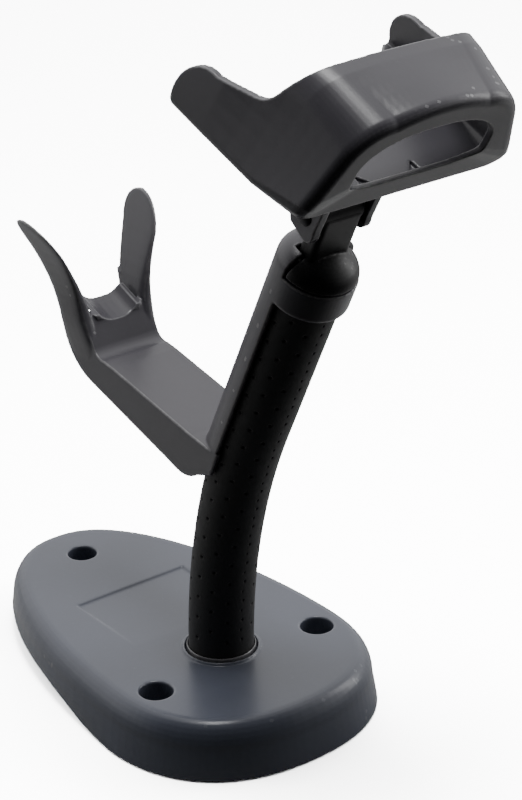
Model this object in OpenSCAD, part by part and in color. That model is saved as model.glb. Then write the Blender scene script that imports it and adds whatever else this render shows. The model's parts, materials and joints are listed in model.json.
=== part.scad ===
// Hands-free counter stand for a handheld barcode scanner.
// A weighted egg-shaped base carries a flexible gooseneck, a rear cradle for
// the scanner's handle, and a tilting cup for the scanner's head.
// Frame: +Z up, +X the way the scanner looks, Y across. The origin is where the
// gooseneck's centre line meets the counter.

/* [Base] */
// Length of the base ahead of its widest section
base_front = 54; // [50:0.5:56]
// Length of the base behind its widest section
base_rear = 120; // [115:0.5:123]
// Half of the base's greatest width
base_half = 55.3; // [53:0.1:57]
// Height of the base's top face above the counter
base_top = 22; // [22:0.1:24]
// Wall thickness of the base moulding
base_wall = 2.6; // [2.2:0.1:3]
// Distance of each front screw hole from the centre line
front_hole_y = 37.3; // [35:0.1:39]
// How far ahead of the gooseneck the front screw holes are
front_hole_x = 10.3; // [8:0.1:12]
// How far behind the gooseneck the rear screw hole is
rear_hole_x = 92.6; // [90:0.1:94]
// Radius of the deep counterbore over each screw hole
counterbore_r = 6.3; // [6:0.1:6.5]
// Radius of the rear screw hole's counterbore
rear_counterbore_r = 5.7; // [5.5:0.1:6.5]
// Radius of each screw hole
screw_hole_r = 2.25; // [2:0.05:2.5]

/* [Gooseneck] */
// Outer radius of the soft sleeve
sleeve_r = 12.2; // [11.9:0.05:12.3]
// Radius of the bend in the gooseneck's centre line
bend_r = 230; // [226:1:234]
// Lean of the gooseneck's straight upper half
lean = 26; // [25:0.5:27]
// Distance along the centre line from one flex joint to the next
link_pitch = 9.7; // [9.5:0.1:9.8]
// Space left between neighbouring links so that each can tilt
link_gap = 1.8; // [1.7:0.1:2]

/* [Cradle] */
// Outer radius of the half pipe, collar and hood
pipe_r = 14.65; // [14.4:0.05:14.8]
// Inner radius of the half pipe and collar
pipe_in_r = 12.8; // [12.6:0.05:12.9]
// Thickness of the cradle's web and of its side flanges
cradle_wall = 2.3; // [2:0.1:2.6]
// How far each finger's tip stands from the centre line
finger_spread = 27.5; // [25:0.1:29]

/* [Cup] */
// Nose-down slope of the cup's floor
cup_slope = 22.4; // [22:0.1:23]
// Half of the floor's width at the front
cup_half = 45; // [43:0.1:46]
// How much wider each side of the floor is at the wings' rear end
wing_flare = 1.8; // [1:0.1:3]
// Wall thickness of the cup
cup_wall = 2.6; // [2.2:0.1:3]
// Height of the band over the floor at its rear edge
band_rear_h = 43.5; // [41:0.1:45]
// Height of the band over the floor where the rim starts
band_front_h = 42; // [38:0.1:43]
// Half of the front window's width
window_half = 27; // [25:0.1:29]
// Height of the front window's top over the floor's underside
window_top = 32; // [30:0.1:33]
// Height of the sill below the front window
window_sill = 9.2; // [7:0.1:11]

/* [Hinge] */
// Radius of the hinge bolt
bolt_r = 2.5; // [2.4:0.05:2.6]
// Inner half spacing of the cup's two ears
ear_in = 9.2; // [9.1:0.05:9.3]
// Thickness of each ear
ear_wall = 3.2; // [3:0.1:3.6]

/* [Hidden] */

slate = "#565963";
charcoal = "#3c3c3e";
black_rubber = "#1b1b1c";
steel = "#9a9da1";
black_steel = "#2a2a2c";
over = 1;           // how far a cutter runs past the face it cuts
running = 0.05;     // radial clearance of a pin in its hole
free = 0.3;         // clearance between parts that don't touch

// Base levels and places
foot_h = 1;
shell_z = 0.3;
cover_z = 1.2;
cover_t = 2;
ballast_z = 11;
ballast_t = 5;
wide_x = 2;         // where the base is widest
edge_inset = 8.6;   // from the base's outline to its flat top
edge_drop = 10;     // height of the rounded top edge
draft = 2;          // how far the side leans in below the rounded edge
tuck_in = 6.5;      // how far the side's foot tucks in at the rear
tuck_z = 8.5;       // height below which it tucks in
outline_n = 96;     // points round the base
tower_r = 8.2;
boss_r = 3.6;
pilot_r = 1.3;
cover_screw_at = [[46, 0], [-30, 41], [-30, -41], [-76, 0]];
ballast_screw_at = [[34, 0], [-55, 24], [-55, -24]];
foot_at = [[0, 0], [36, 32], [36, -32], [-85, 22], [-85, -22]];
mount_hole_at = [[front_hole_x, front_hole_y], [front_hole_x, -front_hole_y], [-rear_hole_x, 0]];
panel_half = 25;
panel_depth = 0.8;
stud_r = 8;
boss_ring_r = 14.6;
bush_r = 13;
groove_r = 13.7;

// Gooseneck levels
core_r = 9.9;
core_bore_r = 5.05;
sleeve_in_r = 10;
first_joint_s = 12;              // centre-line distance from the base's top to the first joint
links = 9;                       // the last two are held by the cradle's half pipe
bend_s = bend_r * lean * PI / 180;
bend_x = bend_r * (1 - cos(lean));
bend_z = base_top + bend_r * sin(lean);

// Distances along the straight upper half, counted from the end of the bend
pipe_bottom_t = -19;
collar_bottom_t = 66;
collar_top_t = 78.3;
hood_top_t = 87.5;
hood_edge_r = 7;
bell_t = 79.2;
flange_t = 75;

// Cradle corners in side view, as [x, z]
plate_front = [4, 115.6];
wall_top = [-61, 139];
saddle_front = [-60.3, 135.6];
saddle_rise = 21;                // rearward slope of the saddle, in degrees
heel = [-52.5, 137];             // centre of the rounded heel below the fork
heel_r = 24;

// Cup frame: u forward along the floor, v across, w up from the floor
cup_corner = [96.1, 0, 232.1];
pivot_u = -21.5;
pivot_w = -25;
front_u = 2.6;
knuckle_r = 5.6;
knuckle_half = 8.3;

// ---------- shared helpers ----------

function mean(points) = [for (k = [0 : 2]) let (c = [for (p = points) p[k]]) c * [for (x = c) 1] / len(c)];

// Skin over rings of equal length, closed by fans from the middle of each end.
module loft(rings) {
    n = len(rings[0]);
    m = len(rings);
    sides = [for (k = [0 : m - 2], i = [0 : n - 1]) let (j = (i + 1) % n)
        each [[k * n + i, (k + 1) * n + i, (k + 1) * n + j], [k * n + i, (k + 1) * n + j, k * n + j]]];
    ends = [for (i = [0 : n - 1]) let (j = (i + 1) % n)
        each [[m * n, i, j], [m * n + 1, (m - 1) * n + j, (m - 1) * n + i]]];
    middles = [mean(rings[0]), mean(rings[m - 1])];
    polyhedron(points = concat([for (r = rings) each r], middles), faces = concat(ends, sides));
}

// Plate with a side-view outline of [x, z] points, from y0 to y1.
module side_plate(outline, y0, y1) {
    translate([0, y1, 0]) rotate([90, 0, 0]) linear_extrude(y1 - y0) polygon(outline);
}

// Arc of [x, z] points about a centre.
function arc(centre, r, a0, a1, steps) =
    [for (i = [0 : steps]) let (a = a0 + (a1 - a0) * i / steps) centre + r * [cos(a), sin(a)]];

// Straight upper half of the gooseneck: local Z runs up it, local X points forward.
module on_neck() {
    translate([bend_x, 0, bend_z]) rotate([0, lean, 0]) children();
}

// Point on the bend, and the bend's direction there, at distance s from the base's top.
module on_bend(s) {
    a = s / bend_r * 180 / PI;
    translate([bend_r * (1 - cos(a)), 0, base_top + bend_r * sin(a)]) rotate([0, a, 0]) children();
}

module in_cup() {
    translate(cup_corner) rotate([0, cup_slope, 0]) children();
}

module ring(r_out, r_in, h) {
    difference() {
        cylinder(r = r_out, h = h, $fn = 96);
        translate([0, 0, -over]) cylinder(r = r_in, h = h + 2 * over, $fn = 96);
    }
}

// ---------- base ----------

// Egg outline of the base: a blunt front and a long, rounder rear.
function egg(a) = let (c = cos(a), s = sin(a)) [
    wide_x + (c >= 0 ? base_front * pow(c, 2 / 2.3) : -base_rear * pow(-c, 2 / 1.85)),
    sign(s) * base_half * pow(abs(s), 2 / 2.3)];
function egg_normal(a) = let (d = egg(a + 0.5) - egg(a - 0.5)) [d[1], -d[0]] / norm(d);
// The side's foot tucks in towards the rear, and not at all at the front.
function tuck(a) = tuck_in * (1 - cos(180 * min(1, max(0, (0.1 - cos(a)) / 0.75)))) / 2;
function tuck_share(z) = pow(max(0, 1 - max(0, z) / tuck_z), 2);
function egg_ring(inset, z, share = 0) = [for (i = [0 : outline_n - 1])
    let (a = (i + 0.5) * 360 / outline_n, p = egg(a) - (inset + share * tuck(a)) * egg_normal(a))
        [p[0], p[1], z]];
function egg_flat(inset, share = 0) = [for (p = egg_ring(inset, 0, share)) [p[0], p[1]]];

// Outer or inner skin of the shell: tucked foot, drafted side, then a quarter-round edge.
module shell_skin(inset, z0, z1) {
    steps = 7;
    side_z = z1 - edge_drop;
    round_w = edge_inset - draft;
    loft(concat(
        [for (z = [z0, tuck_z * 0.3, tuck_z * 0.6, tuck_z])
            egg_ring(inset + draft * max(0, z) / side_z, z, tuck_share(z))],
        [for (k = [0 : steps]) let (a = 90 * k / steps)
            egg_ring(inset + draft + round_w * (1 - cos(a)), side_z + edge_drop * sin(a))]));
}

module base_shell() {
    roof_z = base_top - base_wall;
    color(slate) difference() {
        union() {
            difference() {
                shell_skin(0, shell_z, base_top);
                shell_skin(base_wall, shell_z - over, roof_z);
            }
            for (p = mount_hole_at)
                translate([p[0], p[1], cover_z]) cylinder(r = tower_r, h = roof_z - cover_z + 0.5, $fn = 48);
            for (p = cover_screw_at)
                translate([p[0], p[1], cover_z + cover_t + 0.1])
                    cylinder(r = boss_r, h = roof_z - cover_z - cover_t + 0.4, $fn = 32);
            for (p = ballast_screw_at)
                translate([p[0], p[1], ballast_z + ballast_t + 0.05])
                    cylinder(r = boss_r + 0.4, h = roof_z - ballast_z - ballast_t + 0.4, $fn = 32);
            translate([0, 0, ballast_z + ballast_t + 0.05])
                cylinder(r = boss_ring_r, h = base_top + 1 - ballast_z - ballast_t - 0.05, $fn = 96);
        }
        // Gooseneck socket: stud hole, then a shallow pocket for the bush
        translate([0, 0, ballast_z]) cylinder(r = stud_r + free, h = base_top, $fn = 96);
        translate([0, 0, base_top - 1.9]) cylinder(r = groove_r, h = 5, $fn = 96);
        // Counterbored screw holes
        for (p = mount_hole_at) translate([p[0], p[1], 0]) {
            translate([0, 0, cover_z + 3])
                cylinder(r = p[0] < 0 ? rear_counterbore_r : counterbore_r, h = base_top, $fn = 64);
            cylinder(r = screw_hole_r, h = base_top, $fn = 48);
        }
        for (p = cover_screw_at) translate([p[0], p[1], 0]) cylinder(r = pilot_r, h = 14, $fn = 32);
        for (p = ballast_screw_at) translate([p[0], p[1], 0]) cylinder(r = pilot_r, h = 19, $fn = 32);
        // Blank panel behind the gooseneck, sunk at its rear edge only
        side_plate([[-59, base_top - panel_depth], [-59, base_top + over],
            [-20, base_top + over], [-20, base_top]], -panel_half, panel_half);
    }
}

module bottom_cover() {
    color(charcoal) difference() {
        translate([0, 0, cover_z]) linear_extrude(cover_t) polygon(egg_flat(base_wall + 0.9, 0.8));
        for (p = mount_hole_at) translate([p[0], p[1], 0]) cylinder(r = tower_r + free, h = 5, $fn = 48);
        for (p = cover_screw_at) translate([p[0], p[1], 0]) {
            cylinder(r = pilot_r + 0.2, h = 5, $fn = 32);
            cylinder(r = 3.1, h = cover_z + 1.2, $fn = 32);
        }
        for (p = foot_at) translate([p[0], p[1], 0]) cylinder(r = 5.6, h = cover_z + 0.6, $fn = 48);
    }
}

module ballast_plate() {
    color(steel) difference() {
        translate([0, 0, ballast_z]) linear_extrude(ballast_t) polygon(egg_flat(9));
        cylinder(r = stud_r + free, h = 20, $fn = 96);
        for (p = mount_hole_at) translate([p[0], p[1], 0]) cylinder(r = tower_r + free, h = 20, $fn = 48);
        for (p = cover_screw_at) translate([p[0], p[1], 0]) cylinder(r = boss_r + free, h = 20, $fn = 32);
        for (p = ballast_screw_at) translate([p[0], p[1], 0]) cylinder(r = 1.6, h = 20, $fn = 32);
    }
}

// Pan-head self-tapping screw, head down.
module tapping_screw(head_r, head_h, length) {
    cylinder(r = head_r, h = head_h, $fn = 32);
    cylinder(r = pilot_r - running, h = head_h + length, $fn = 24);
}

module ballast_screws() {
    color(steel) for (p = ballast_screw_at)
        translate([p[0], p[1], ballast_z - 1.9]) tapping_screw(3, 1.8, 7.4);
}

module cover_screws() {
    color(steel) for (p = cover_screw_at)
        translate([p[0], p[1], cover_z + 0.1]) tapping_screw(2.8, 1.05, 9);
}

module rubber_feet() {
    color(black_rubber) for (p = foot_at) translate([p[0], p[1], 0]) {
        cylinder(r1 = 4.9, r2 = 5.4, h = foot_h - 0.3, $fn = 48);
        translate([0, 0, foot_h - 0.3]) cylinder(r = 5.4, h = cover_z - foot_h + 0.85, $fn = 48);
    }
}

// Trim ring between the shell's socket and the sleeve.
module foot_bush() {
    color(charcoal) translate([0, 0, base_top - 1.8]) rotate_extrude($fn = 96)
        polygon([[stud_r + 0.35, 0], [bush_r, 0], [bush_r, 3.4], [bush_r - 0.3, 3.7],
            [bush_r - 0.5, 3.4], [bush_r - 0.5, 1], [stud_r + 0.35, 1]]);
}

// ---------- gooseneck ----------

module lower_ferrule() {
    color(steel) {
        translate([0, 0, 4]) cylinder(r = stud_r, h = base_top - 4, $fn = 64);
        translate([0, 0, base_top - 0.7]) cylinder(r = sleeve_r - 0.3, h = 2, $fn = 64);
        translate([0, 0, base_top]) cylinder(r = core_bore_r - 0.1, h = 8, $fn = 48);
    }
}

module lock_washer() {
    color(steel) difference() {
        translate([0, 0, ballast_z - 1.5]) ring(12.5, stud_r + 0.1, 1.45);
        translate([8, -0.8, ballast_z - 2]) cube([6, 1.6, 3]);
    }
}

module lock_nut() {
    color(steel) difference() {
        translate([0, 0, ballast_z - 6.6]) cylinder(r = 13.5, h = 5, $fn = 6);
        cylinder(r = stud_r + running, h = 20, $fn = 64);
    }
}

// Joint number k sits at this distance along the bend.
function joint_s(k) = first_joint_s + (k - 1) * link_pitch;

// One length of sleeve and of core; the core is wound wire, so it is grooved.
module sleeve_piece(h) {
    color(black_rubber) ring(sleeve_r, sleeve_in_r, h);
}

module core_piece(h) {
    grooves = floor(h / 3.9);
    color(steel) difference() {
        ring(core_r, core_bore_r, h);
        for (k = [1 : grooves]) translate([0, 0, h * (k - 0.5) / grooves])
            rotate_extrude($fn = 64) translate([core_r + 0.5, 0]) circle(r = 1.3, $fn = 24);
    }
}

link_h = link_pitch - link_gap;

module sleeve_foot() {
    translate([0, 0, base_top + 1.4]) sleeve_piece(first_joint_s - link_gap / 2 - 1.4);
}

module core_foot() {
    translate([0, 0, base_top + 1.4]) core_piece(first_joint_s - link_gap / 2 - 1.4);
}

module sleeve_link(k) {
    on_bend(joint_s(k) + link_pitch / 2) translate([0, 0, -link_h / 2]) sleeve_piece(link_h);
}

module core_link(k) {
    on_bend(joint_s(k) + link_pitch / 2) translate([0, 0, -link_h / 2]) core_piece(link_h);
}

// The gooseneck's straight upper half, from the last link up to the ferrule.
straight_from_t = joint_s(links + 1) + link_gap / 2 - bend_s;

module sleeve_top() {
    on_neck() translate([0, 0, straight_from_t]) sleeve_piece(flange_t - 0.15 - straight_from_t);
}

module core_top() {
    color(steel) on_neck() translate([0, 0, straight_from_t])
        ring(core_r, core_bore_r, flange_t - 0.15 - straight_from_t);
}

module upper_ferrule() {
    color(steel) on_neck() {
        translate([0, 0, flange_t - 14]) cylinder(r = core_bore_r - 0.1, h = 14.5, $fn = 48);
        translate([0, 0, flange_t]) cylinder(r = sleeve_r - 0.3, h = 1.3, $fn = 64);
        translate([0, 0, flange_t]) cylinder(r = 4, h = 10, $fn = 48);
    }
}

// ---------- cradle ----------

// Half pipe behind the sleeve, the collar ring, and the hood over the neck's bell.
module pipe_section(r, top_edge) {
    rotate_extrude($fn = 96) polygon(concat(
        [[0, pipe_bottom_t - 20], [r, pipe_bottom_t - 20]],
        arc([r - top_edge, hood_top_t - (pipe_r - r) - top_edge], top_edge, 0, 90, 8),
        [[0, hood_top_t - (pipe_r - r)]]));
}

module pipe_and_collar() {
    difference() {
        union() {
            // Rear half, full height
            difference() {
                pipe_section(pipe_r, hood_edge_r);
                translate([0, -20, -60]) cube([40, 40, 200]);
                translate([-40, -20, pipe_bottom_t - 40]) cube([80, 40, 40]);
            }
            // Collar: a full ring with a rounded lower edge
            rotate_extrude($fn = 96) polygon(concat(
                [[pipe_in_r - 3, collar_bottom_t], [pipe_r - 1.6, collar_bottom_t]],
                arc([pipe_r - 1.6, collar_bottom_t + 1.6], 1.6, -90, 0, 4),
                [[pipe_r, collar_top_t], [pipe_in_r - 3, collar_top_t]]));
        }
        // Space for the sleeve below, and for the neck's bell above the shoulder
        translate([0, 0, pipe_bottom_t - 20])
            cylinder(r = pipe_in_r, h = flange_t + 1.6 - pipe_bottom_t + 20, $fn = 96);
        cylinder(r = 4.3, h = 80, $fn = 48);
        intersection() {
            pipe_section(pipe_in_r, hood_edge_r - 1.85);
            translate([-20, -20, collar_top_t]) cube([60, 40, 40]);
        }
        // Slot in the hood's roof for the stalk
        translate([-4.4, -knuckle_half - 0.7, collar_top_t + 0.5]) cube([20, 2 * knuckle_half + 1.4, 30]);
    }
}

// Side view of the cradle: the L from the half pipe back to the fork's wall.
function cradle_outline() = concat(
    [[15.1, 103.9], [19.6, 113.5], plate_front],
    [[-44, 124.4]],
    arc([-50.6, 131.3], 6.2, 278, 200, 6),
    [[-59.6, 135.2], wall_top, [-79, 146.5]],
    arc(heel, heel_r, 188, 254, 8),
    [[-12, 100.6]],
    arc([-1.5, 112], 14, 250, 306, 8));

// The same side view, moved in by the web's thickness and open below.
function cradle_hollow() = concat(
    [[30, 80], [30, 111.1], [plate_front[0] - 1, plate_front[1] - cradle_wall]],
    [[-44.3, 124.4 - cradle_wall]],
    arc([-50.6, 131.3], 6.2 + cradle_wall, 278, 200, 6),
    [[wall_top[0] - 2.6, wall_top[1] + 2], [-110, 160], [-110, 80]]);

// Half width of the fork's notch against height over its lowest point.
function notch_outline(half, depth) = concat(
    [[-half - 4, 40], [half + 4, 40]],
    [for (a = [0 : 10 : 180]) [half * sign(cos(a)) * pow(abs(cos(a)), 2 / 2.8),
        -depth * pow(sin(a), 2 / 2.4)]]);

// Places the notch's cross-section over the saddle, running rearwards and up.
module along_saddle(from, length) {
    translate([saddle_front[0], 0, saddle_front[1]]) rotate([0, saddle_rise, 0])
        translate([-from, 0, 0]) rotate([90, 0, -90]) linear_extrude(length) children();
}

module saddle_band() {
    intersection() {
        along_saddle(0.1, 14) translate([0, 11]) difference() {
            polygon(notch_outline(11.8, 13.2));
            polygon(notch_outline(10.4, 11));
            translate([-30, -8]) square([60, 60]);
        }
        side_plate([[-58, 120], [-60.8, 147], [-71.5, 150], [-73.5, 120]], -14, 14);
    }
}

// A finger: a broad blade that flares outwards and ends in a rounded tip.
function finger_rise(f) = 124 + 50 * f;
function finger_front(f) = -58.5 - 7.5 * f + 3.5 * exp(-pow(f / 0.2, 2));
function finger_rear(f) = f < 0.26
    ? heel[0] - sqrt(pow(heel_r, 2) - pow(finger_rise(f) - heel[1], 2))
    : heel[0] - heel_r - 13.5 * pow((f - 0.26) / 0.74, 1.15);
function finger_out(f) = pipe_r - 0.05 + 2.6 * (1 - exp(-pow(max(0, f + 0.12) / 0.33, 2)))
    + (finger_spread - pipe_r - 2.6) * pow(max(0, (f - 0.38) / 0.62), 1.7);
function finger_inner(f) = 10.2 + (finger_spread - 11.9) * pow(max(0, (f - 0.25) / 0.75), 1.35);
function finger_ring(f) = let (
    tip = f < 0.77 ? 1 : sqrt(max(0.003, 1 - pow((f - 0.77) / 0.23, 2))),
    middle = (finger_front(f) + finger_rear(f)) / 2 - 3 * max(0, f - 0.77) / 0.23,
    half = (finger_front(f) - finger_rear(f)) / 2 * tip,
    t = (finger_out(f) - finger_inner(f)) / 2)
    [for (a = [0 : 15 : 345]) [
        middle + half * sign(cos(a)) * pow(abs(cos(a)), 2 / 3.5),
        finger_out(f) - t + t * sign(sin(a)) * pow(abs(sin(a)), 2 / 3.5),
        finger_rise(f)]];

module finger() {
    stations = [-0.12, -0.04, 0.04, 0.12, 0.2, 0.28, 0.36, 0.44, 0.52, 0.6, 0.68, 0.77,
        0.82, 0.87, 0.91, 0.94, 0.97, 0.985, 0.996, 1];
    intersection() {
        loft([for (f = stations) finger_ring(f)]);
        side_plate([[-40, 128], [-55, 128], [-60, 122], [-66, 118.1], [-120, 118.1],
            [-120, 190], [-40, 190]], 0, 60);
    }
}

module cradle_arm() {
    color(charcoal) difference() {
        union() {
            on_neck() pipe_and_collar();
            difference() {
                union() {
                    difference() {
                        side_plate(cradle_outline(), -pipe_r, pipe_r);
                        side_plate(cradle_hollow(), -pipe_r + cradle_wall, pipe_r - cradle_wall);
                    }
                    finger();
                    mirror([0, 1, 0]) finger();
                }
                along_saddle(-5, 45) translate([0, 11]) polygon(notch_outline(10.4, 11));
            }
            saddle_band();
        }
        // Clearance for the sleeve, along the bend and the straight half
        on_neck() translate([0, 0, -50]) cylinder(r = pipe_in_r, h = 100, $fn = 96);
        translate([2.5, 0, 0]) on_bend(70) translate([0, 0, -30]) cylinder(r = pipe_in_r, h = 50, $fn = 96);
    }
}

// ---------- neck ----------

// Quarter-ellipse dome standing on z = 0.
module dome(r, h) {
    rotate_extrude($fn = 96) polygon(concat([[0, 0]],
        [for (a = [0 : 7.5 : 90]) [r * cos(a), h * sin(a)]]));
}

module neck_stalk() {
    color(black_rubber) on_neck() difference() {
        union() {
            translate([0, 0, bell_t]) dome(pipe_in_r - 0.3, 6.9);
            intersection() {
                translate([0, 0, bell_t]) dome(pipe_r - 0.35, 8.6);
                translate([0.8, -20, 60]) cube([40, 40, 60]);
            }
            // Flat stalk with rounded edges
            translate([0, 0, bell_t]) linear_extrude(pivot_t() - bell_t) {
                square([7.4, 2 * knuckle_half - 4], center = true);
                square([3.4, 2 * knuckle_half], center = true);
                for (i = [-1, 1], j = [-1, 1])
                    translate([i * 1.7, j * (knuckle_half - 2)]) circle(r = 2, $fn = 32);
            }
            translate([pivot_q(), knuckle_half, pivot_t()]) rotate([90, 0, 0])
                cylinder(r = knuckle_r, h = 2 * knuckle_half, $fn = 64);
        }
        translate([pivot_q(), 20, pivot_t()]) rotate([90, 0, 0])
            cylinder(r = bolt_r + running, h = 40, $fn = 64);
        // Socket for the ferrule's stud, and the set screw's hole
        translate([0, 0, bell_t - over]) cylinder(r = 4 + running, h = 7, $fn = 48);
        translate([0, 0, bell_t + 2.6]) rotate([0, -90, 0]) cylinder(r = 1.5 + running, h = 20, $fn = 32);
    }
}

// Place of the cup's pivot in the neck's frame.
function pivot_point() = [
    cup_corner[0] + pivot_u * cos(cup_slope) + pivot_w * sin(cup_slope),
    cup_corner[2] - pivot_u * sin(cup_slope) + pivot_w * cos(cup_slope)];
function pivot_t() = (pivot_point()[0] - bend_x) * sin(lean) + (pivot_point()[1] - bend_z) * cos(lean);
function pivot_q() = (pivot_point()[0] - bend_x) * cos(lean) - (pivot_point()[1] - bend_z) * sin(lean);

module neck_set_screw() {
    color(steel) on_neck() translate([-4.2, 0, bell_t + 2.6]) rotate([0, -90, 0])
        cylinder(r = 1.5, h = 6, $fn = 32);
}

// ---------- hinge ----------

module at_pivot() {
    translate([pivot_point()[0], 0, pivot_point()[1]]) rotate([90, 0, 0]) children();
}

ear_out = ear_in + ear_wall;

// Low button head on the -Y side, thin nut on the +Y side.
module hinge_bolt() {
    color(black_steel) at_pivot() {
        translate([0, 0, -ear_out - 2.6]) cylinder(r = bolt_r, h = 2 * ear_out + 2.65, $fn = 64);
        translate([0, 0, ear_out + 0.05]) dome(3.6, 1.3);
    }
}

module hinge_nut() {
    color(black_steel) at_pivot() difference() {
        translate([0, 0, -ear_out - 2.45]) cylinder(r = 4.1, h = 2.4, $fn = 6);
        translate([0, 0, -30]) cylinder(r = bolt_r + running, h = 60, $fn = 64);
    }
}

module friction_washers() {
    color(black_rubber) at_pivot() for (side = [0, 1]) mirror([0, 0, side])
        translate([0, 0, knuckle_half + 0.05]) ring(5.2, bolt_r + 0.1, ear_in - knuckle_half - 0.1);
}

// ---------- cup ----------

// The wing end stands nearly upright; the walls lean in towards the front.
function cup_out(u) = cup_half + wing_flare * max(0, -u / 60);
function cup_lean(u) = 0.2 + 0.16 * min(1, max(0, (u + 45) / 45));
function front_share(u) = min(1, max(0, (u + 18) / 20));

// Height of the band over the floor, lower towards the front.
function band_h(u) = band_rear_h + (band_front_h - band_rear_h) * min(1, max(0, (u + 20) / 20));

// How far the front face leans forward at height w over the floor.
function front_lean(w) = 2.4 * (1 - exp(-pow(w / 5, 2))) + 0.15 * w;

// Right half of the cross-section at u: floor, leaning wall, rounded corner, crowned band.
function cup_half_section(u, inset, lift) = let (
    tilt = atan(cup_lean(u)),
    crown = 1.2 + 2 * front_share(u),
    h = band_h(u) - inset,
    r = 14 + 4 * front_share(u) - inset,
    foot_r = max(0.8, 2.6 + 3.4 * front_share(u) - inset * 0.6),
    top_w = h - crown - r,
    top_v = cup_out(u) - inset / cos(tilt) - tan(tilt) * top_w - r / cos(tilt),
    foot_w = lift + foot_r,
    foot_v = cup_out(u) - inset / cos(tilt) - tan(tilt) * foot_w - foot_r / cos(tilt))
    concat(
        [for (k = [0 : 4]) [foot_v * k / 5, lift]],
        [for (k = [0 : 3]) let (a = -90 + (90 + tilt) * k / 3)
            [foot_v + foot_r * cos(a), foot_w + foot_r * sin(a)]],
        [for (k = [1 : 4]) let (f = k / 5) [
            foot_v + foot_r * cos(tilt) + f * (top_v - foot_v + (r - foot_r) * cos(tilt)),
            foot_w + foot_r * sin(tilt) + f * (top_w - foot_w + (r - foot_r) * sin(tilt))]],
        [for (k = [0 : 12]) let (a = tilt + (90 - tilt) * k / 12) [top_v + r * cos(a), top_w + r * sin(a)]],
        [for (k = [1 : 8]) let (f = 1 - k / 8) [top_v * f, h - crown + crown * (1 - f * f)]]);

function cup_section(u, inset, lift) = let (right = cup_half_section(u, inset, lift), n = len(right))
    concat(right, [for (k = [n - 2 : -1 : 1]) [-right[k][0], right[k][1]]]);

// Ring of the loft; share says how much of the front's lean the ring takes.
function cup_ring(u, inset, lift, share) =
    [for (p = cup_section(u, inset, lift)) [u + share * front_lean(p[1]), p[0], p[1]]];

module cup_skin(inset, from, front, edge) {
    steps = 5;
    body = [from, -44, -32, -24, -18, -13, -8, -4];
    loft(concat(
        [for (u = body) cup_ring(u, inset, inset, max(0, (u + 60) / (60 + front - edge)))],
        [for (k = [0 : steps]) let (a = 90 * k / steps, in = edge * (1 - cos(a)))
            cup_ring(front - edge + edge * sin(a), inset + in, inset + 0.25 * in, 1)]));
}

// Front window: arched top, flat sill with rounded corners.
function window_outline() = let (middle = 17.5) [for (i = [0 : 71]) let (
    a = (i + 0.5) * 5, top = sin(a) > 0, e = top ? 2 / 2.3 : 2 / 4.5,
    reach = top ? window_top - middle : middle - window_sill)
    [window_half * sign(cos(a)) * pow(abs(cos(a)), e), middle + reach * sign(sin(a)) * pow(abs(sin(a)), e)]];

// Side view of what is left of the cup: rounded wing, notch, then the band.
function cup_side() = concat(
    [[24, -2], [24, 62], [-15.5, 62]],
    [[-16.6, 43]],
    arc([-32.5, 34], 10.2, -30, -84, 10),
    arc([-47.3, 7], 13.6, 84, 214, 18),
    [[-58.2, -2]]);

// Side view of an ear: deeper ahead of the hinge, running back up to the floor.
function ear_side() = concat(
    [[-11.5, 1.3], [-15.2, -27.5]],
    arc([-18.6, pivot_w - 5.3], 3.4, -6, -96, 4),
    [[-27, pivot_w - 6.6], [-43, 1.3]]);

module scanner_cup() {
    color(charcoal) difference() {
        union() {
            in_cup() difference() {
                cup_skin(0, -68, front_u, 3.6);
                cup_skin(cup_wall, -72, front_u - cup_wall, 2);
                // Side view cut
                translate([0, 60, 0]) rotate([90, 0, 0]) linear_extrude(120) difference() {
                    translate([-90, -10]) square([130, 80]);
                    polygon(cup_side());
                }
                // Front window
                translate([-14, 0, 0]) rotate([90, 0, 90]) linear_extrude(40) polygon(window_outline());
                // Rear edge of the floor: a wide bay between the wings
                translate([-92, 0, -2]) cylinder(r = 52, h = 8, $fn = 128);
                // Small three-sided pockets in the floor ahead of each ear
                for (side = [0, 1]) mirror([0, side, 0]) translate([0, 0, 1.2]) linear_extrude(8) {
                    polygon([[-1.8, 7.2], [-1.8, 12], [-7.6, 11.6]]);
                    polygon([[-0.8, 14], [-0.8, 17.4], [-3.6, 16.4]]);
                }
            }
            in_cup() {
                side_plate(ear_side(), ear_in, ear_in + ear_wall);
                side_plate(ear_side(), -ear_in - ear_wall, -ear_in);
                // Rib that ties the ears together behind the hinge
                side_plate([[-34, 1.3], [-34, -7], [-36, -7], [-36, 1.3]], -ear_in - 1, ear_in + 1);
            }
        }
        at_pivot() translate([0, 0, -30]) cylinder(r = bolt_r + running, h = 60, $fn = 64);
    }
}

base_shell();
ballast_plate();
ballast_screws();
bottom_cover();
cover_screws();
rubber_feet();
foot_bush();
lower_ferrule();
lock_washer();
lock_nut();
sleeve_foot();
core_foot();
sleeve_link(1);  // sleeve_link_1
core_link(1);  // core_link_1
sleeve_link(2);  // sleeve_link_2
core_link(2);  // core_link_2
sleeve_link(3);  // sleeve_link_3
core_link(3);  // core_link_3
sleeve_link(4);  // sleeve_link_4
core_link(4);  // core_link_4
sleeve_link(5);  // sleeve_link_5
core_link(5);  // core_link_5
sleeve_link(6);  // sleeve_link_6
core_link(6);  // core_link_6
sleeve_link(7);  // sleeve_link_7
core_link(7);  // core_link_7
sleeve_link(8);  // sleeve_link_8
core_link(8);  // core_link_8
sleeve_link(9);  // sleeve_link_9
core_link(9);  // core_link_9
sleeve_top();
core_top();
upper_ferrule();
cradle_arm();
neck_stalk();
neck_set_screw();
hinge_bolt();
hinge_nut();
friction_washers();
scanner_cup();
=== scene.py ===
import bpy
import json
import math
from mathutils import Matrix, Vector


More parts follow.
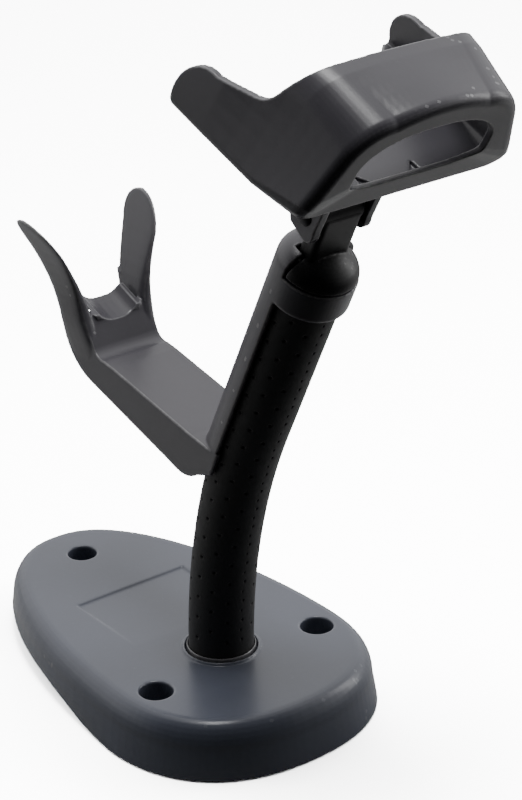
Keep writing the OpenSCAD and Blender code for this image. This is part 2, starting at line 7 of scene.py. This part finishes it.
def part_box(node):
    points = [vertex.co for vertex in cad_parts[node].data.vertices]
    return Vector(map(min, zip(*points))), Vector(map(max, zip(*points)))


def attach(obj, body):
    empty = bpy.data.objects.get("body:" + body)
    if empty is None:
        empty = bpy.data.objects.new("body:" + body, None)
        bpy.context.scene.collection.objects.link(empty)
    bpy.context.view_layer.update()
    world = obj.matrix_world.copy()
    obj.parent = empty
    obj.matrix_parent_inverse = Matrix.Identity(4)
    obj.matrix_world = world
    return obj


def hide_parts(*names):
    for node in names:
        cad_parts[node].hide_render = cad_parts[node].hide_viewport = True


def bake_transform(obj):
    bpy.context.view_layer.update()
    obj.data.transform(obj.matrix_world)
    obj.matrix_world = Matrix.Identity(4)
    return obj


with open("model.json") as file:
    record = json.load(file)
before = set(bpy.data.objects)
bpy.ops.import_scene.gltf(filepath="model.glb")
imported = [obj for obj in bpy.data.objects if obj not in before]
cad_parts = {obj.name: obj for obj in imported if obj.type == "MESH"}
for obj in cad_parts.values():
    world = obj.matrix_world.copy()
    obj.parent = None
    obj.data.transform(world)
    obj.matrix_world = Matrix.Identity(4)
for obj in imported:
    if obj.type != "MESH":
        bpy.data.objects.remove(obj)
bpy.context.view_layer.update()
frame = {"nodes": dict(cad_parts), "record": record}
scene = bpy.context.scene
MM = 0.001


# ---------------------------------------------------------------- materials

class Nodes:
    """Builds one procedural material, step by step."""

    def __init__(self, name):
        self.material = bpy.data.materials.new(name)
        self.material.use_nodes = True
        self.tree = self.material.node_tree
        self.tree.nodes.clear()
        self.output = self.new("ShaderNodeOutputMaterial")
        self.shader = self.new("ShaderNodeBsdfPrincipled")
        self.link(self.shader.outputs[0], self.output.inputs[0])
        self.place = self.new("ShaderNodeTexCoord").outputs["Object"]

    def new(self, kind, **settings):
        node = self.tree.nodes.new(kind)
        for key, value in settings.items():
            setattr(node, key, value)
        return node

    def link(self, source, target):
        self.tree.links.new(source, target)

    def noise(self, size_mm, detail=3.0, stretch=None):
        """Noise whose features are about size_mm across, squeezed along each axis by stretch."""
        place = self.place
        if stretch:
            mapping = self.new("ShaderNodeMapping")
            mapping.inputs["Scale"].default_value = stretch
            self.link(place, mapping.inputs[0])
            place = mapping.outputs[0]
        node = self.new("ShaderNodeTexNoise")
        node.inputs["Scale"].default_value = 1000.0 / size_mm
        node.inputs["Detail"].default_value = detail
        self.link(place, node.inputs["Vector"])
        return node.outputs["Fac"]

    def ramp(self, source, low, high, out_low, out_high):
        """Maps low..high to out_low..out_high, clamped at both ends."""
        node = self.new("ShaderNodeMapRange")
        node.inputs["From Min"].default_value = low
        node.inputs["From Max"].default_value = high
        node.inputs["To Min"].default_value = out_low
        node.inputs["To Max"].default_value = out_high
        self.link(source, node.inputs["Value"])
        return node.outputs["Result"]

    def mix(self, share, first, second):
        """Colour between first and second; each argument is a plain value or a node's output."""
        node = self.new("ShaderNodeMix", data_type="RGBA")
        for socket, value in ((node.inputs[0], share), (node.inputs[6], first), (node.inputs[7], second)):
            if isinstance(value, (tuple, list)):
                socket.default_value = (*value[:3], 1.0)
            elif isinstance(value, float):
                socket.default_value = value
            else:
                self.link(value, socket)
        return node.outputs[2]

    def math(self, operation, first, second):
        node = self.new("ShaderNodeMath", operation=operation)
        for socket, value in ((node.inputs[0], first), (node.inputs[1], second)):
            if isinstance(value, (int, float)):
                socket.default_value = value
            else:
                self.link(value, socket)
        return node.outputs[0]

    def bump(self, *layers):
        """Surface relief; layers are (height source, depth in mm)."""
        normal = None
        for height, depth_mm in layers:
            node = self.new("ShaderNodeBump")
            node.inputs["Strength"].default_value = 1.0
            node.inputs["Distance"].default_value = depth_mm * MM
            self.link(height, node.inputs["Height"])
            if normal is not None:
                self.link(normal, node.inputs["Normal"])
            normal = node.outputs[0]
        self.link(normal, self.shader.inputs["Normal"])

    def edges(self, low, high):
        """0 on flat surfaces, 1 on convex edges."""
        geometry = self.new("ShaderNodeNewGeometry")
        return self.ramp(geometry.outputs["Pointiness"], low, high, 0.0, 1.0)


def paler(colour, factor):
    return [min(1, c * factor) for c in colour]


def plastic(name, colour, rough, grain_mm, grain_depth, edge_wear_highlight_colour, edge_gain=0.6, specular=0.5, coat=0.0):
    """Moulded plastic: fine grain, faint flow clouds, and convex edges a little paler and smoother, partly
    handling wear and partly a painted highlight where rounded edges catch the light.
    """
    n = Nodes(name)
    grain = n.noise(grain_mm, 2.0)
    cloud = n.noise(26.0, 4.0)
    fleck = n.noise(1.6, 5.0)
    # Painted highlight with wear: convex edges (found by pointiness) are blended towards a paler edge colour
    # and broken up by noise. This stands in for the light caught along rounded edges as well as for handling
    # wear.
    edge = n.edges(0.506, 0.528)
    edge_wear_and_highlight = n.math("MULTIPLY", edge, n.ramp(n.noise(5.0, 5.0), 0.35, 0.7, 0.45, 1.0))
    clouded = n.ramp(cloud, 0.3, 0.7, 0.0, 1.0)
    tone = n.mix(clouded, [c * 0.93 for c in colour], [c * 1.07 for c in colour])
    tone = n.mix(n.ramp(fleck, 0.62, 0.8, 0.0, 0.25), tone, paler(colour, 1.5))
    tone = n.mix(n.math("MULTIPLY", edge_wear_and_highlight, edge_gain), tone, edge_wear_highlight_colour)
    n.link(tone, n.shader.inputs["Base Color"])
    cloud_rough = n.ramp(cloud, 0.3, 0.7, rough - 0.03, rough + 0.03)
    uneven = n.math("ADD", cloud_rough, n.ramp(grain, 0.3, 0.7, -0.03, 0.03))
    n.link(n.math("SUBTRACT", uneven, n.math("MULTIPLY", edge_wear_and_highlight, 0.08)), n.shader.inputs["Roughness"])
    n.shader.inputs["Specular IOR Level"].default_value = specular
    n.shader.inputs["Coat Weight"].default_value = coat
    n.shader.inputs["Coat Roughness"].default_value = rough * 0.6
    n.bump((grain, grain_depth), (fleck, grain_depth * 0.8))
    return n.material


def soft_touch(name, colour, rough):
    """Soft rubbery surface: matt, with fine pores, paler dust and a faint sheen."""
    n = Nodes(name)
    pore = n.noise(0.35, 3.0)
    dust = n.noise(3.5, 6.0)
    tone = n.mix(n.ramp(dust, 0.5, 0.75, 0.0, 0.5), colour, [c * 1.8 for c in colour])
    n.link(tone, n.shader.inputs["Base Color"])
    n.link(n.ramp(dust, 0.3, 0.7, rough - 0.05, rough + 0.05), n.shader.inputs["Roughness"])
    n.shader.inputs["Sheen Weight"].default_value = 0.12
    n.shader.inputs["Sheen Roughness"].default_value = 0.4
    n.bump((pore, 0.02), (dust, 0.03))
    return n.material


def metal(name, colour, rough, brush=(1, 1, 12)):
    """Plain, plated or blackened metal: fine scratches, darker patches, brighter edges."""
    n = Nodes(name)
    scratch = n.noise(0.9, 6.0, brush)
    patch = n.noise(7.0, 4.0)
    tone = n.mix(n.ramp(patch, 0.3, 0.7, 0.0, 1.0), [c * 0.8 for c in colour], colour)
    n.link(n.mix(n.edges(0.52, 0.6), tone, paler(colour, 1.3)), n.shader.inputs["Base Color"])
    n.shader.inputs["Metallic"].default_value = 1.0
    n.link(n.ramp(scratch, 0.3, 0.7, rough - 0.08, rough + 0.08), n.shader.inputs["Roughness"])
    n.bump((scratch, 0.01))
    return n.material


# The edge colours and gains below set each plastic's painted edge highlight, which is also partly wear.
SLATE = plastic(
    "slate_plastic", (0.092, 0.102, 0.136), 0.36, grain_mm=0.42, grain_depth=0.008,
    edge_wear_highlight_colour=(0.30, 0.31, 0.34), edge_gain=0.35, coat=0.45)
CHARCOAL = plastic(
    "charcoal_plastic", (0.073, 0.070, 0.082), 0.36, grain_mm=0.38, grain_depth=0.010,
    edge_wear_highlight_colour=(0.30, 0.30, 0.31), edge_gain=0.85, specular=0.6, coat=0.15)
BLACK = plastic(
    "black_plastic", (0.012, 0.012, 0.013), 0.38, grain_mm=0.4, grain_depth=0.008,
    edge_wear_highlight_colour=(0.10, 0.10, 0.105), edge_gain=0.5)
SOFT = soft_touch("soft_black", (0.012, 0.012, 0.0125), 0.62)
RUBBER = soft_touch("foot_rubber", (0.03, 0.03, 0.03), 0.75)
STEEL = metal("plated_steel", (0.56, 0.57, 0.58), 0.32)
WOUND = metal("wound_steel", (0.42, 0.42, 0.43), 0.38, (12, 12, 1))
IRON = metal("cast_weight", (0.22, 0.22, 0.23), 0.6, (1, 1, 1))
BLACK_STEEL = metal("black_steel", (0.05, 0.05, 0.053), 0.42, (1, 1, 4))
SLOT_LOOKS = {
    "slate_plastic": SLATE,
    "charcoal_plastic": CHARCOAL,
    "black_plastic": BLACK,
    "soft_black": SOFT,
    "foot_rubber": RUBBER,
    "plated_steel": STEEL,
    "wound_steel": WOUND,
    "cast_weight": IRON,
    "black_steel": BLACK_STEEL,
}

for part in frame["record"]["subparts"]:
    mesh = frame["nodes"][part["node"]].data
    mesh.materials.clear()
    mesh.materials.append(SLOT_LOOKS[part["material_slot"]])


# ------------------------------------------------------------------- pieces

def add(name, mesh, material):
    """A new smooth-shaded piece in the scene."""
    piece = bpy.data.objects.new(name, mesh)
    scene.collection.objects.link(piece)
    mesh.materials.clear()
    mesh.materials.append(material)
    mesh.shade_smooth()
    return piece


def moulded(node, voxel_mm, material, body):
    """The node's own shape with the soft, rounded edges of a real moulding."""
    piece = add(node + "_moulding", frame["nodes"][node].data.copy(), material)
    remesh = piece.modifiers.new("remesh", "REMESH")
    remesh.mode = "VOXEL"
    remesh.voxel_size = voxel_mm * COARSER * MM
    smooth = piece.modifiers.new("smooth", "SMOOTH")
    smooth.factor = 0.5
    smooth.iterations = 4
    graph = bpy.context.evaluated_depsgraph_get()
    mesh = bpy.data.meshes.new_from_object(piece.evaluated_get(graph))
    piece.modifiers.clear()
    piece.data = mesh
    mesh.materials.clear()
    mesh.materials.append(material)
    mesh.shade_smooth()
    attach(piece, body)
    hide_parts(node)


COARSER = 1.0
moulded("base_shell", 0.45, SLATE, "base")
moulded("scanner_cup", 0.36, CHARCOAL, "cup")
moulded("cradle_arm", 0.36, CHARCOAL, "neck_top")
moulded("neck_stalk", 0.3, BLACK, "neck_top")


# The gooseneck's soft sleeve: one closed, dimpled tube per joint, each bending
# from the middle of one link to the middle of the next, with a fixed length at
# either end. Distances along it are in metres above the base's top.
chain = [j for j in frame["record"]["behaviour"]["joints"] if j["name"].startswith("neck_")]
pivots = [Vector(j["pos_m"]) for j in chain]
low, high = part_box("sleeve_foot")
SLEEVE_R = (high.x - low.x) / 2
SLEEVE_WALL = 0.0019
SLEEVE_FROM = 0.0014
SLEEVE_STRAIGHT = 0.0748
BEND_FROM_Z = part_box("base_shell")[1].z - 0.001
BEND_R = (pivots[-1].x ** 2 + (pivots[-1].z - BEND_FROM_Z) ** 2) / (2 * pivots[-1].x)
LEAN = math.radians(26)
DIMPLE_LINES = 13
DIMPLE_PITCH = 0.0090
DIMPLE_R = 0.00078
DIMPLE_DEPTH = 0.00055
DIMPLES_FROM = 0.006
ACROSS = Vector((0, 1, 0))


def centre_line(s):
    """Point and direction on the gooseneck's centre line: an arc up to LEAN, then straight."""
    a = min(s / BEND_R, LEAN)
    extra = s - a * BEND_R
    point = Vector((BEND_R * (1 - math.cos(a)), 0, BEND_FROM_Z + BEND_R * math.sin(a)))
    along = Vector((math.sin(a), 0, math.cos(a)))
    return point + along * extra, along


def outer_r(s, angle):
    """The sleeve's outer radius, less inside the dimples, which stand in staggered lines."""
    r = SLEEVE_R
    before = math.floor(angle / (2 * math.pi) * DIMPLE_LINES)
    for line in (before, before + 1):
        centre = line * 2 * math.pi / DIMPLE_LINES
        across = (angle - centre) * SLEEVE_R
        if abs(across) > DIMPLE_R:
            continue
        shift = (line % 2) * DIMPLE_PITCH / 2
        nearest = round((s - shift) / DIMPLE_PITCH) * DIMPLE_PITCH + shift
        gap = math.hypot(across, s - nearest) / DIMPLE_R
        if gap < 1 and nearest > DIMPLES_FROM:
            r -= DIMPLE_DEPTH * (1 - gap * gap)
    return r


def inner_r(s, angle):
    return SLEEVE_R - SLEEVE_WALL


def sleeve_length(name, s_from, s_to):
    """A closed tube along the centre line: dimpled outside, plain inside, flat at both ends."""
    around = 272
    step = 0.00030
    rows = max(4, int(round((s_to - s_from) / step)))
    verts, faces = [], []

    def ring(row, radius):
        s = s_from + (s_to - s_from) * row / rows
        point, along = centre_line(s)
        front = ACROSS.cross(along)
        for k in range(around):
            angle = 2 * math.pi * k / around
            r = radius(s, angle)
            verts.append(point + front * (r * math.cos(angle)) + ACROSS * (r * math.sin(angle)))

    for row in range(rows + 1):
        ring(row, outer_r)
    ring(0, inner_r)
    ring(rows, inner_r)

    last = rows * around
    inside = (rows + 1) * around
    for row in range(rows):
        here, above = row * around, (row + 1) * around
        for k in range(around):
            after = (k + 1) % around
            faces.append((here + k, here + after, above + after, above + k))
    for k in range(around):
        after = (k + 1) % around
        low_in, low_in_after = inside + k, inside + after
        top_in, top_in_after = inside + around + k, inside + around + after
        faces.append((after, k, low_in, low_in_after))
        faces.append((last + k, last + after, top_in_after, top_in))
        faces.append((low_in_after, low_in, top_in, top_in_after))

    mesh = bpy.data.meshes.new(name)
    mesh.from_pydata([tuple(v) for v in verts], [], faces)
    mesh.update()
    ends = set(range(around)) | set(range(last, inside))
    sharp = mesh.attributes.new("sharp_edge", "BOOLEAN", "EDGE")
    for edge in mesh.edges:
        a, b = edge.vertices
        on_rim = a in ends and b in ends and abs(a - b) in (1, around - 1)
        if on_rim or a >= inside or b >= inside:
            sharp.data[edge.index].value = True
    return mesh


def sleeve_piece(name, s_from, s_to):
    piece = add(name, sleeve_length(name, s_from, s_to), SOFT)
    return piece


link_length = (pivots[1] - pivots[0]).length
first_pivot_s = math.asin(min(1, (pivots[0].z - BEND_FROM_Z) / BEND_R)) * BEND_R
link_middles = [first_pivot_s + (k - 0.5) * link_length for k in range(len(pivots) + 1)]

foot = sleeve_piece("sleeve_foot_skin", SLEEVE_FROM, link_middles[0])
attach(foot, "base")
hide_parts("sleeve_foot")
top = sleeve_piece("sleeve_top_skin", link_middles[-1], LEAN * BEND_R + SLEEVE_STRAIGHT)
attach(top, "neck_top")
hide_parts("sleeve_top", "sleeve_link_8", "sleeve_link_9")
for k, joint in enumerate(chain):
    start, end = link_middles[k], link_middles[k + 1]
    skin = sleeve_piece("sleeve_bend_%d" % (k + 1), start, end)
    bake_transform(skin)
    if joint["child"] != "neck_top":
        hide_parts("sleeve_link_%d" % (k + 1))


# -------------------------------------------------------------------- stage

FLOOR_WHITE = (14.0, 14.0, 14.0)
FLOOR_FAR = 0.55
FLOOR_NEAR = 0.015
FLOOR_REACH = 6.0
FLOOR_Z = -0.0002
TO_CAMERA = Vector((0.7185, -0.5474, 0.4289)).normalized()
CAMERA_AT = Vector((0.6742, -0.4937, 0.5199))
CAMERA_AIM = Vector((-0.01270, 0.02973, 0.1100))
CAMERA_ROLL = math.radians(-0.74)


def floor_material():
    """White to the camera; to the object it is a floor that darkens towards the camera's side."""
    n = Nodes("studio_floor")
    cloud = n.ramp(n.noise(300.0, 2.0), 0.3, 0.7, 0.0, 1.0)
    n.link(n.mix(cloud, FLOOR_WHITE, [c * 1.03 for c in FLOOR_WHITE]), n.shader.inputs["Base Color"])
    n.shader.inputs["Roughness"].default_value = 0.8
    n.shader.inputs["Specular IOR Level"].default_value = 0.1
    split = n.new("ShaderNodeSeparateXYZ")
    n.link(n.place, split.inputs[0])
    forward = n.math("MULTIPLY", split.outputs[0], 0.8)
    towards = n.math("ADD", forward, n.math("MULTIPLY", split.outputs[1], -0.6))
    shade = n.new("ShaderNodeBsdfDiffuse")
    grey = n.ramp(towards, -0.05, 0.12, FLOOR_FAR, FLOOR_NEAR)
    n.link(n.mix(grey, (0.0, 0.0, 0.0), (1.0, 1.0, 1.0)), shade.inputs[0])
    path = n.new("ShaderNodeLightPath")
    pick = n.new("ShaderNodeMixShader")
    n.link(path.outputs["Is Camera Ray"], pick.inputs[0])
    n.link(shade.outputs[0], pick.inputs[1])
    n.link(n.shader.outputs[0], pick.inputs[2])
    n.link(pick.outputs[0], n.output.inputs[0])
    return n.material


def studio_floor():
    corners = [(-1, -1), (1, -1), (1, 1), (-1, 1)]
    mesh = bpy.data.meshes.new("studio_floor")
    mesh.from_pydata([(x * FLOOR_REACH, y * FLOOR_REACH, FLOOR_Z) for x, y in corners], [], [(0, 1, 2, 3)])
    mesh.materials.append(floor_material())
    floor = bpy.data.objects.new("studio_floor", mesh)
    scene.collection.objects.link(floor)


def studio_world():
    """Soft white tent, dark on the camera's side; plain white where the camera looks past the floor."""
    world = bpy.data.worlds.new("studio")
    world.use_nodes = True
    tree = world.node_tree
    tree.nodes.clear()

    def new(kind, **settings):
        node = tree.nodes.new(kind)
        for key, value in settings.items():
            setattr(node, key, value)
        return node

    def ramp(source, low, high, out_low, out_high):
        node = new("ShaderNodeMapRange", interpolation_type="SMOOTHSTEP")
        for key, value in (("From Min", low), ("From Max", high), ("To Min", out_low), ("To Max", out_high)):
            node.inputs[key].default_value = value
        tree.links.new(source, node.inputs["Value"])
        return node.outputs["Result"]

    place = new("ShaderNodeTexCoord").outputs["Generated"]
    split = new("ShaderNodeSeparateXYZ")
    tree.links.new(place, split.inputs[0])
    height = ramp(split.outputs[2], -0.1, 0.7, 0.75, 1.1)
    facing = new("ShaderNodeVectorMath", operation="DOT_PRODUCT")
    tree.links.new(place, facing.inputs[0])
    facing.inputs[1].default_value = TO_CAMERA
    dark = ramp(facing.outputs["Value"], -0.05, 0.62, 1.4, 0.0)
    product = new("ShaderNodeMath", operation="MULTIPLY")
    tree.links.new(height, product.inputs[0])
    tree.links.new(dark, product.inputs[1])
    tent = new("ShaderNodeBackground")
    tree.links.new(product.outputs[0], tent.inputs["Strength"])
    white = new("ShaderNodeBackground")
    white.inputs["Strength"].default_value = 5.0
    path = new("ShaderNodeLightPath")
    pick = new("ShaderNodeMixShader")
    tree.links.new(path.outputs["Is Camera Ray"], pick.inputs[0])
    tree.links.new(tent.outputs[0], pick.inputs[1])
    tree.links.new(white.outputs[0], pick.inputs[2])
    output = new("ShaderNodeOutputWorld")
    tree.links.new(pick.outputs[0], output.inputs[0])
    scene.world = world


def aimed(name, data, place, aim, roll=0.0):
    """A lamp or camera at place that looks at aim, turned by roll about its own line of sight."""
    item = bpy.data.objects.new(name, data)
    item.location = place
    item.rotation_mode = "QUATERNION"
    look = (Vector(aim) - Vector(place)).to_track_quat("-Z", "Y")
    item.rotation_quaternion = look @ Matrix.Rotation(roll, 3, "Z").to_quaternion()
    scene.collection.objects.link(item)
    return item


def softbox(name, place, aim, width, height, watts):
    light = bpy.data.lights.new(name, "AREA")
    light.shape = "RECTANGLE"
    light.size = width
    light.size_y = height
    light.energy = watts
    aimed(name, light, place, aim)


studio_floor()
studio_world()
softbox("top_softbox", (0.10, -0.02, 1.25), (0, 0, 0.1), width=0.34, height=0.34, watts=6.0)
softbox("right_softbox", (0.35, 1.0, 0.5), (0, 0, 0.15), width=0.3, height=0.7, watts=2.0)

camera_data = bpy.data.cameras.new("camera")
camera_data.lens = 116.75
camera_data.sensor_width = 36.0
camera_data.clip_start = 0.05
camera_data.clip_end = 50.0
scene.camera = aimed("camera", camera_data, CAMERA_AT, CAMERA_AIM, CAMERA_ROLL)
